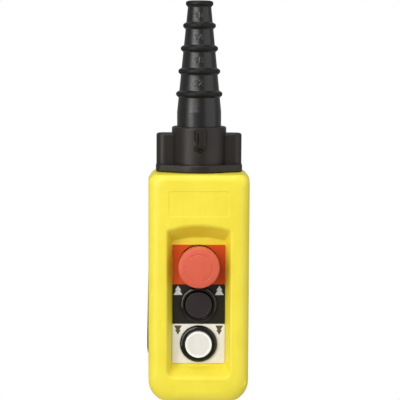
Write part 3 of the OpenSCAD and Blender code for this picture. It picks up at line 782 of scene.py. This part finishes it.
# neck and flange under the plate, inside the shells
s = Shape()
revolve(s, [(0, 168.6), (25.5, 168.6), (25.5, 172.6), (23, 172.6), (23, 178), (0, 178)], 128, upright=True)
combine_solids(collar, s, "UNION")
# latch rib: three ridges that run out into the release pocket
s = Shape()
rib = [(-4.05, -22.3), (-3.5, -22.6), (-2.0, -22.7), (0.3, -22.7), (2.2, -22.7), (4.0, -22.6), (4.75, -21.9), (5.4, -20.8)]
rows = []
for z, g in ((192.2, -1.75), (193.2, -1.4), (194.4, -0.85), (195.8, -0.3), (197.4, 0.0), (209.2, 0.0), (209.8, -0.15),
             (210.1, -0.5), (210.2, -0.9)):
    rows.append(s.pts([(-4.05, -19.5, z)] + [(x, y - g, z) for x, y in rib] + [(5.75, -18.9, z)]))
for a, b in zip(rows, rows[1:]):
    s.bridge(a, b)
s.face(rows[0])
s.face(rows[-1][::-1])
combine_solids(collar, s, "UNION")
s = Shape()
# mould seam and the small pip under the pocket
lp = s.loft([[(-0.18, -20.8, z), (-0.1, -21.04, z), (0.1, -21.04, z), (0.18, -20.8, z)] for z in (181.8, 187.4)])
s.face(lp[0])
s.face(lp[1][::-1])
lp = s.loft([[(-0.18, -25.6, z), (-0.1, -25.98, z), (0.1, -25.98, z), (0.18, -25.6, z)] for z in (176.5, 180.9)])
s.face(lp[0])
s.face(lp[1][::-1])
revolve(s, fillet([(0, 20.3, 0), (0.95, 20.3, 0), (0.9, 21.35, 0.3), (0, 21.42, 0)], closed=False, n=3), 24,
        (0.1, 189.0))
combine_solids(collar, s, "UNION")
# bores, gasket groove, rib grooves and release pocket
s = Shape()
revolve(s, [(0, 153), (19.25, 153), (19.25, 185.55), (17.15, 185.55), (17.15, 210.1), (17.55, 210.5), (17.55, 233), (0, 233)],
        128, upright=True)
revolve(s, [(23.6, 175.0), (25.4, 175.0), (25.4, 177.05), (23.6, 177.05)], 128, upright=True, closed=True)
for x, dz in ((-3.7, 1.6), (-1.2, -0.6)):
    rows = [s.pts([(x - 0.35, -23.4, z + dz), (x + 1.1, -23.4, z + dz), (x + 0.72, y, z + dz), (x + 0.37, y + 0.25, z + dz),
                   (x + 0.02, y, z + dz)])
            for z, y in ((197.8, -22.9), (198.8, -22.3), (200.2, -22.0), (204.6, -22.0), (206.2, -22.3), (207.2, -22.9))]
    for a, b in zip(rows, rows[1:]):
        s.bridge(a, b)
    s.face(rows[0][::-1])
    s.face(rows[-1])
lp = s.loft([[(x, y, z) for x, z in rrect(-0.9 - e, 2.6 + e, 191.7 - e, 193.9 + e, 1.05 + e, 1.05 + e, 5)]
             for y, e in ((-24.0, 0.9), (-21.2, 0.8), (-20.5, 0.1), (-19.5, -0.5))])
s.face(lp[0][::-1])
s.face(lp[-1])
combine_solids(collar, s, "DIFFERENCE")
piece(collar, "enclosure", [COLLAR], ["cable_collar"], sharp=32)

# ---------------------------------------------------------------- sleeve
PITCH = 17.3
TUBE = 16.95


def cone_r(d):
    return min(8.85 + 0.101 * (d - 4), TUBE)


def outer_profile():
    """(depth below the mouth, radius, corner radius) of the stepped sleeve."""
    pts = [(0.0, 4.5, 0), (0.0, 5.2, 0.2), (0.0, 8.3, 1.4), (0.45, 9.7, 1.0), (1.1, 10.45, 0.8), (3.2, 10.45, 0.9),
           (4.1, 9.6, 0.7), (5.0, cone_r(5.0), 0.8)]
    for i in range(1, 5):
        d = 1.6 + PITCH * i
        r = cone_r(d) + 2.18
        pts += [(d - 2.7, cone_r(d - 2.7), 0.8), (d - 1.55, r - 0.62, 0.7), (d - 0.75, r, 0.7), (d + 0.75, r, 0.7),
                (d + 1.55, r - 0.62, 0.7), (d + 2.7, cone_r(d + 2.7), 0.8)]
    pts += [(84.3, TUBE, 8.0), (120.5, TUBE, 0.0), (120.5, 19.0, 0.3), (124.3, 19.0, 0.3), (124.3, TUBE - 2.4, 0.2)]
    return pts


line = fillet(outer_profile(), closed=False, n=5)
# add levels where the size numbers stand
dense = []
number_rows = [(11.2, "10"), (27.6, "14"), (44.9, "18"), (62.2, "22")]
for (d0, r0), (d1, r1) in zip(line, line[1:]):
    dense.append((d0, r0))
    if d1 - d0 > 1.0 and d1 < 90:
        levels = [d0 + (d1 - d0) * k / math.ceil((d1 - d0) / 0.3) for k in range(1, math.ceil((d1 - d0) / 0.3))]
        for d in levels:
            if any(abs(d - c) < 3.4 for c, _ in number_rows):
                dense.append((d, r0 + (r1 - r0) * (d - d0) / (d1 - d0)))
dense.append(line[-1])

STROKES = {
    "0": [((-1, 1.8), (1, 1.8)), ((1, 1.8), (1, -1.8)), ((1, -1.8), (-1, -1.8)), ((-1, -1.8), (-1, 1.8))],
    "1": [((-0.9, 1.0), (0.1, 1.8)), ((0.1, 1.8), (0.1, -1.8))],
    "2": [((-1, 1.3), (-0.4, 1.8)), ((-0.4, 1.8), (0.6, 1.8)), ((0.6, 1.8), (1, 1.1)), ((1, 1.1), (-1, -1.8)),
          ((-1, -1.8), (1.1, -1.8))],
    "4": [((0.5, -1.8), (0.5, 1.8)), ((0.5, 1.8), (-1.1, -0.7)), ((-1.1, -0.7), (1.1, -0.7))],
    "8": [((-0.8, 1.8), (0.8, 1.8)), ((0.8, 1.8), (0.8, 0.1)), ((0.8, 0.1), (-0.8, 0.1)), ((-0.8, 0.1), (-0.8, 1.8)),
          ((-1, 0.1), (-1, -1.8)), ((-1, -1.8), (1, -1.8)), ((1, -1.8), (1, 0.1))],
}


def digit_height(u, w, text):
    """Raised height of a number at (u to the right, w up), in millimetres from its middle."""
    best = np.full(np.shape(u), 9.0)
    for k, ch in enumerate(text):
        ox = (k - (len(text) - 1) / 2) * 3.5
        for (x0, y0), (x1, y1) in STROKES[ch]:
            ax, ay, bx, by = x0 + ox, y0, x1 + ox, y1
            dx, dy = bx - ax, by - ay
            t = np.clip(((u - ax) * dx + (w - ay) * dy) / (dx * dx + dy * dy), 0, 1)
            best = np.minimum(best, np.hypot(u - ax - t * dx, w - ay - t * dy))
    return 0.2 * (1.0 - np.clip((best - 0.22) / 0.28, 0, 1))


fine = np.radians(np.arange(-30, 30.01, 1.1))
coarse = np.radians(np.linspace(30, 330, 74))[1:-1]
theta = np.concatenate([fine, coarse])
s = Shape()
idx = []
ring_face = [d < 4.2 or any(abs(d - 1.6 - PITCH * i) < 2.3 for i in range(1, 5)) for d, _ in dense]
for d, r in dense:
    rr = np.full(len(theta), r)
    for c, text in number_rows:
        if abs(d - c) < 3.3:
            rr = rr + digit_height(r * np.sin(theta) * (np.cos(theta) > 0) + 50 * (np.cos(theta) <= 0) + 0.6,
                                   np.full(len(theta), c - d), text)
    idx.append(s.pts([(q * math.sin(t), -q * math.cos(t), BASE - d) for q, t in zip(rr, theta)]))
for d, r in ((84.3, TUBE - 2.4), (8.5, cone_r(8.5) - 2.4), (5.2, 4.5), (0.25, 4.5)):
    idx.append(s.pts([(r * math.sin(t), -r * math.cos(t), BASE - d) for t in theta]))
for k, (a, b) in enumerate(zip(idx, idx[1:])):
    s.bridge(a, b, 1 if k + 1 < len(ring_face) and ring_face[k] and ring_face[k + 1] else 0)
s.bridge(idx[-1], idx[0])
piece(build("cable_sleeve_skin", s), "enclosure", [SLEEVE, SLEEVE_RING], ["cable_sleeve"], sharp=50,
      weighted=False)

# ---------------------------------------------------------------- springs
# each coil is copied as it stands from its node onto the enclosure
for name, joint, travel in (("estop_spring", "estop_press", 0.0045), ("stop_block_spring", "estop_press", 0.0045),
                            ("up_spring", "up_press", 0.0055), ("up_block_spring", "up_press", 0.0055),
                            ("down_spring", "down_press", 0.0055), ("down_block_spring", "down_press", 0.0055)):
    me = nodes[name].data.copy()
    me.transform(nodes[name].matrix_world)
    ob = bpy.data.objects.new(name + "_coil", me)
    bpy.context.scene.collection.objects.link(ob)
    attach(ob, "enclosure")
    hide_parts(name)
    zs = [p.co.z for p in me.vertices]
    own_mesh(ob)

# ---------------------------------------------------------------- floor, lights, camera
s = Shape()
rad = 0.9
rings_ = [[(r * math.cos(t), r * math.sin(t), 0) for t in np.linspace(0, 2 * math.pi, 96, endpoint=False)]
          for r in (0.05, 0.15, 0.3, 0.5, 0.7, 0.9)]
lp = s.loft(rings_)
s.face(lp[0])
floor = build("floor", s)
# the part hangs from its cable, clear above the floor
floor.location = (0, 0, -0.75)
mat, nt, bsdf = new_material("floor_pale")
v = coords(nt, 1.0)
link(nt, ramp(nt, noise(nt, v, 6.0, 3.0), [(0.3, (0.72, 0.72, 0.715)), (0.7, (0.75, 0.75, 0.745))]), bsdf.inputs["Base Color"])
link(nt, span(nt, noise(nt, v, 14.0, 3.0), 0.3, 0.7, 0.7, 0.85), bsdf.inputs["Roughness"])
bsdf.inputs["Specular IOR Level"].default_value = 0.1
grad = nt.nodes.new("ShaderNodeTexGradient")
grad.gradient_type = "SPHERICAL"
mp = nt.nodes.new("ShaderNodeMapping")
mp.inputs["Scale"].default_value = (1 / 0.88, 1 / 0.88, 1.0)
tc = nt.nodes.new("ShaderNodeTexCoord")
link(nt, tc.outputs["Object"], mp.inputs["Vector"])
link(nt, mp.outputs["Vector"], grad.inputs["Vector"])
clear = nt.nodes.new("ShaderNodeBsdfTransparent")
mix = nt.nodes.new("ShaderNodeMixShader")
fade = span(nt, grad.outputs["Fac"], 0.05, 0.75, 0.0, 1.0)
link(nt, fade, mix.inputs["Fac"])
link(nt, clear.outputs["BSDF"], mix.inputs[1])
link(nt, bsdf.outputs["BSDF"], mix.inputs[2])
link(nt, mix.outputs["Shader"], nt.nodes["Material Output"].inputs["Surface"])
floor.data.materials.append(mat)


def softbox(name, az, el, dist, size, power, colour=(1, 1, 1), aim=(0, 0, -0.16)):
    """A rectangular light; azimuth 0 is straight in front, positive to the right."""
    data = bpy.data.lights.new(name, "AREA")
    data.shape = "RECTANGLE"
    data.size, data.size_y = size
    data.energy = power
    data.color = colour
    ob = bpy.data.objects.new(name, data)
    a, e = math.radians(az), math.radians(el)
    at = Vector(aim)
    ob.location = at + dist * Vector((math.sin(a) * math.cos(e), -math.cos(a) * math.cos(e), math.sin(e)))
    ob.rotation_euler = (at - ob.location).to_track_quat("-Z", "Y").to_euler()
    bpy.context.scene.collection.objects.link(ob)
    return ob


softbox("key", -22, 30, 1.5, (0.7, 1.1), 8.6, (1.0, 0.985, 0.965))
softbox("side", -47, 4, 1.5, (0.8, 1.3), 7.6, (1.0, 0.985, 0.965))
softbox("strip", -44, 22, 1.45, (0.06, 1.2), 3.0, (1.0, 0.99, 0.975))
softbox("fill", 62, 8, 1.7, (2.0, 2.6), 13.0, (1.0, 0.985, 0.965))
softbox("top", -8, 80, 1.3, (0.9, 0.6), 4.5)

world = bpy.data.worlds.new("studio")
bpy.context.scene.world = world
world.use_nodes = True
wn = world.node_tree
for n in list(wn.nodes):
    wn.nodes.remove(n)
out = wn.nodes.new("ShaderNodeOutputWorld")
seen = wn.nodes.new("ShaderNodeBackground")
seen.inputs["Color"].default_value = (1, 1, 1, 1)
seen.inputs["Strength"].default_value = 1.0
lit = wn.nodes.new("ShaderNodeBackground")
tcw = wn.nodes.new("ShaderNodeTexCoord")
sep = wn.nodes.new("ShaderNodeSeparateXYZ")
wn.links.new(tcw.outputs["Generated"], sep.inputs["Vector"])
rampw = wn.nodes.new("ShaderNodeValToRGB")
rampw.color_ramp.elements[0].position = 0.25
rampw.color_ramp.elements[0].color = (0.300, 0.295, 0.287, 1)
rampw.color_ramp.elements[1].position = 0.85
rampw.color_ramp.elements[1].color = (0.385, 0.386, 0.387, 1)
mr = wn.nodes.new("ShaderNodeMapRange")
mr.inputs["From Min"].default_value = -1.0
mr.inputs["From Max"].default_value = 1.0
wn.links.new(sep.outputs["Z"], mr.inputs["Value"])
wn.links.new(mr.outputs["Result"], rampw.inputs["Fac"])
wn.links.new(rampw.outputs["Color"], lit.inputs["Color"])
lit.inputs["Strength"].default_value = 1.0
lp_ = wn.nodes.new("ShaderNodeLightPath")
mixw = wn.nodes.new("ShaderNodeMixShader")
wn.links.new(lp_.outputs["Is Camera Ray"], mixw.inputs["Fac"])
wn.links.new(lit.outputs["Background"], mixw.inputs[1])
wn.links.new(seen.outputs["Background"], mixw.inputs[2])
wn.links.new(mixw.outputs["Shader"], out.inputs["Surface"])

cam_data = bpy.data.cameras.new("camera")
cam_data.lens = 116.2
cam_data.sensor_width = 36.0
cam_data.clip_end = 50
cam = bpy.data.objects.new("camera", cam_data)
bpy.context.scene.collection.objects.link(cam)
az, el = math.radians(0.65), math.radians(6.4)
look = Vector((math.sin(az) * math.cos(el), math.cos(az) * math.cos(el), -math.sin(el)))
target = Vector((0.00097, 0.0, -0.1527))
cam.location = target - look
cam.rotation_mode = "QUATERNION"
cam.rotation_quaternion = look.to_track_quat("-Z", "Y") @ Quaternion((0, 0, 1), math.radians(0.26))
bpy.context.scene.camera = cam
bpy.context.scene.view_settings.view_transform = "Standard"
bpy.context.scene.view_settings.look = "None"
